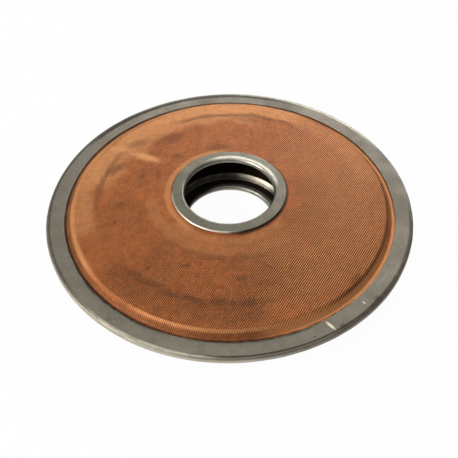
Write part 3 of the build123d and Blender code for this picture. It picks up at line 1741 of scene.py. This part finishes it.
UPPER_CLOTH_MARKS = (
    Band(Tone.DARK, 44.0, 24.0, 0.2, 2.0, 0.2, -112, 60),
    Band(Tone.DARK, 57.5, 8.0, 0.36, 1.5, 0.3, -110, 28, 0.08),
    Band(Tone.DARK, 35.0, 10.0, 0.26, 2.0, 0.4, -12, 22),
    Band(Tone.LIGHT, 59.0, 7.0, 0.32, 2.0, 0.3, 42, 24),
    Band(Tone.LIGHT, 26.8, 3.0, 0.28, 0.6, 0.2, -90, 46),
    # Lighter at the back left: lighter clean cloth, with a painted sheen on it.
    Band(Tone.LIGHT, 60.5, 8.0, 0.5, 2.2, 0.35, 128, 66),
    Band(Tone.LIGHT, 56.0, 12.0, 0.6, 3.0, 0.25, 124, 42),
    # Painted shade on the shoulder and the slope past it at the front left.
    Band(Tone.DARK, 66.4, 2.8, 0.6, 0.3, 0.12, -136, 50, 0.2),
    Band(Tone.DARK, 63.6, 0.8, 0.35, 0.1, 0.1, -134, 26, 0.1),
    Band(Tone.DARK, 66.3, 1.4, 0.25, 0.1, 0.1, -128, 22, 0.1),
    Band(Tone.LIGHT, 25.0, 1.8, 0.55, 0.4, 0.1, 165, 66),
    Band(Tone.LIGHT, 31.8, 3.6, 0.25, 1.0, 0.3, -110, 60),
    # Painted highlights on the shoulder at the front and the left, and painted light on the slope at the
    # right.
    Band(Tone.LIGHT, 64.3, 0.7, 0.5, 0.1, 0.15, -90, 24, 0.12),
    Band(Tone.LIGHT, 64.0, 1.5, 0.6, 0.1, 0.1, 180, 28),
    Band(Tone.LIGHT, 66.9, 1.4, 0.45, 0.1, 0.0, -14, 52),
    Band(Tone.LIGHT, 65.7, 1.5, 0.5, 0.1, 0.0, -50, 16),
    Band(Tone.DARK, 34.4, 2.2, 0.35, 0.8, 0.5, -94, 20, 0.08),
    Band(Tone.LIGHT, 66.3, 0.5, 0.4, 0.1, 0.2, 85, 35),
    Band(Tone.DARK, 53.6, 2.2, 0.55, 1.3, 0.4, 86, 24, 0.08),
    Band(Tone.DARK, 54.2, 1.8, 0.5, 1.0, 0.3, 168, 10, 0.06),
    Band(Tone.DARK, 62.0, 0.5, 0.45, 0.1, 0.2, 134, 12, 0.08),
    Patch(Tone.DARK, (-5.0, 27.4), 7.0, 3.8, 0.48, 8),
    Patch(Tone.DARK, (8.5, 49.4), 9.0, 4.0, 0.35, -12),
    Band(Tone.DARK, 53.4, 2.0, 0.55, 1.2, 0.6, -104, 26, 0.08),
    # Painted shade on the shoulder's slope at the right and at the back.
    Band(Tone.DARK, 64.3, 0.7, 0.75, 0.1, 0.1, -5, 42),
    Band(Tone.DARK, 64.2, 1.7, 0.8, 0.15, 0.15, 92, 42),
    # Painted shadow of the hub ring's flange at the right, and painted shade in the gap under the rim's
    # inner edge.
    Band(Tone.GAP_SHADE_AND_PIT, 23.6, 0.9, 0.8, 0.05, 0.1, -22, 58),
    Band(Tone.GAP_SHADE_AND_PIT, 67.4, 1.1, 1.0, 0.08, 0.15, 168, 54),
    Band(Tone.GAP_SHADE_AND_PIT, 67.4, 0.8, 0.85, 0.15, 0.6, -98, 42),
    Band(Tone.GAP_SHADE_AND_PIT, 67.5, 1.1, 0.9, 0.3, 0.4, -84, 12, 0.04),
    Patch(Tone.DARK, (-39.6, 34.4), 6.0, 3.6, 0.42, 20),
    Patch(Tone.DARK, (-26.0, 36.0), 10.0, 5.2, 0.42, 25),
    Patch(Tone.DARK, (-48.3, 17.4), 7.5, 3.4, 0.5, 46),
    Patch(Tone.DARK, (-29.5, 11.5), 5.0, 1.3, 0.45, -86),
    Patch(Tone.DARK, (-22.1, 22.9), 3.0, 2.2, 0.45, 20),
    Patch(Tone.DARK, (-36.6, 10.9), 3.0, 2.0, 0.4, 30),
    # Painted highlights along the two raised creases, then painted shade with a stain in the two
    # pressed-in ones.
    Patch(Tone.LIGHT, (-36.0, 23.8), 11.0, 3.2, 0.95, -32, 0.25),
    Patch(Tone.LIGHT, (-47.9, 31.2), 6.0, 2.2, 1.0, -15, 0.2),
    Patch(Tone.DARK, (28.7, 19.7), 3.0, 0.4, 0.6, -56),
    Patch(Tone.DARK, (13.9, -37.8), 5.4, 1.0, 0.7, -32, 0.3),
    Patch(Tone.DARK, (3.7, -43.2), 2.6, 1.8, 0.5, 20),
    Patch(Tone.DARK, (11.1, -45.4), 0.9, 0.7, 0.7),
    Patch(Tone.DARK, (17.2, -45.2), 0.9, 0.7, 0.7),
    Patch(Tone.DARK, (-15.1, -51.0), 3.2, 1.8, 0.4, -10),
    Patch(Tone.DARK, (-45.5, -14.1), 1.5, 1.0, 0.6),
    Patch(Tone.DARK, (-44.0, -5.0), 3.0, 3.4, 0.35, 30),
    Patch(Tone.DARK, (-30.5, -37.2), 2.2, 1.6, 0.6, 20),
    Patch(Tone.DARK, (-16.6, -37.2), 2.8, 1.4, 0.6, 10),
    Patch(Tone.DARK, (46.6, -42.0), 5.0, 1.6, 0.6, 48),
)

UPPER_CREASES = (
    Crease((-35.4, 23.4), 11.0, 2.2, 0.4, -32),
    Crease((-47.9, 31.2), 5.4, 1.5, 0.28, -15),
    Crease((28.7, 19.7), 3.5, 1.0, -0.15, -56),
    Crease((13.9, -37.8), 5.0, 1.4, -0.12, -32),
)

LOWER_CLOTH_MARKS = (
    Band(Tone.LIGHT, 61.0, 5.5, 0.4, 1.4, 0.2, -60, 80),
    Band(Tone.LIGHT, 25.4, 2.0, 0.45, 0.5, 0.2, 20, 70),
    Band(Tone.DARK, 46.0, 12.0, 0.3, 2.6, 0.5, 110, 60),
    Band(Tone.DARK, 54.0, 2.6, 0.4, 1.8, 0.6, 40, 90),
    Band(Tone.DARK, 64.1, 1.2, 0.5, 0.15, 0.2, 150, 80),
    Patch(Tone.DARK, (-33.0, -24.0), 7.0, 4.0, 0.45, 35),
    Patch(Tone.DARK, (22.0, 40.0), 5.0, 2.4, 0.5, -25),
    Patch(Tone.LIGHT, (41.0, -18.0), 8.0, 1.8, 0.6, 62, 0.3),
    # Painted shade in the gap under the rim's inner edge.
    Band(Tone.GAP_SHADE_AND_PIT, 67.25, 0.6, 0.8, 0.08, 0.3),
)

CLOTH_LOOK = {
    "base": srgb(206, 118, 62),
    "dark": srgb(80, 42, 22),
    "light": srgb(250, 180, 118),
    "roughness": 0.55,
    "metallic": 0.55,
    "specular": 0.25,
}

LAMPS = (
    SoftBox("key_lamp", (-0.75, -0.38, 0.5), (0.5, 0.4), 7.8, (1.0, 0.98, 0.95)),
    SoftBox("back_lamp", (0.3, 0.85, 0.46), (0.9, 0.4), 5.6),
    SoftBox("top_lamp", (0.0, 0.1, 1.1), (0.8, 0.8), 0.9),
)


def main() -> None:
    """Builds the studio, the camera and every piece of the disc, and reports each of them."""
    logging.basicConfig(level=logging.INFO, format="%(message)s")
    effects = Effects()
    bpy.context.scene.view_settings.view_transform = "Standard"
    PhotoCamera().place()
    Studio(LAMPS).build(effects)
    rim = RimChannel(RIM_FINISH).build(effects)
    LOG.info("%s has %d faces", rim.name, len(rim.data.polygons))
    hub_material = HUB_FINISH.material(effects)
    for side in Side:
        ring = HubRing(side, hub_material).build()
        LOG.info("%s has %d faces", ring.name, len(ring.data.polygons))
    for side, marks, creases in (
        (Side.UPPER, UPPER_CLOTH_MARKS, UPPER_CREASES),
        (Side.LOWER, LOWER_CLOTH_MARKS, ()),
    ):
        finish = ClothFinish(name=f"{side.word}_wire_cloth", marks=marks, **CLOTH_LOOK)
        screen = WireScreen(side, finish.material(effects), finish.weave, creases).build()
        LOG.info("%s has %d faces", screen.name, len(screen.data.polygons))
    for name in SupportPlates(SUPPORT_FINISH).dress(effects):
        LOG.info("%s is dressed", name)


if __name__ == "__main__":
    main()
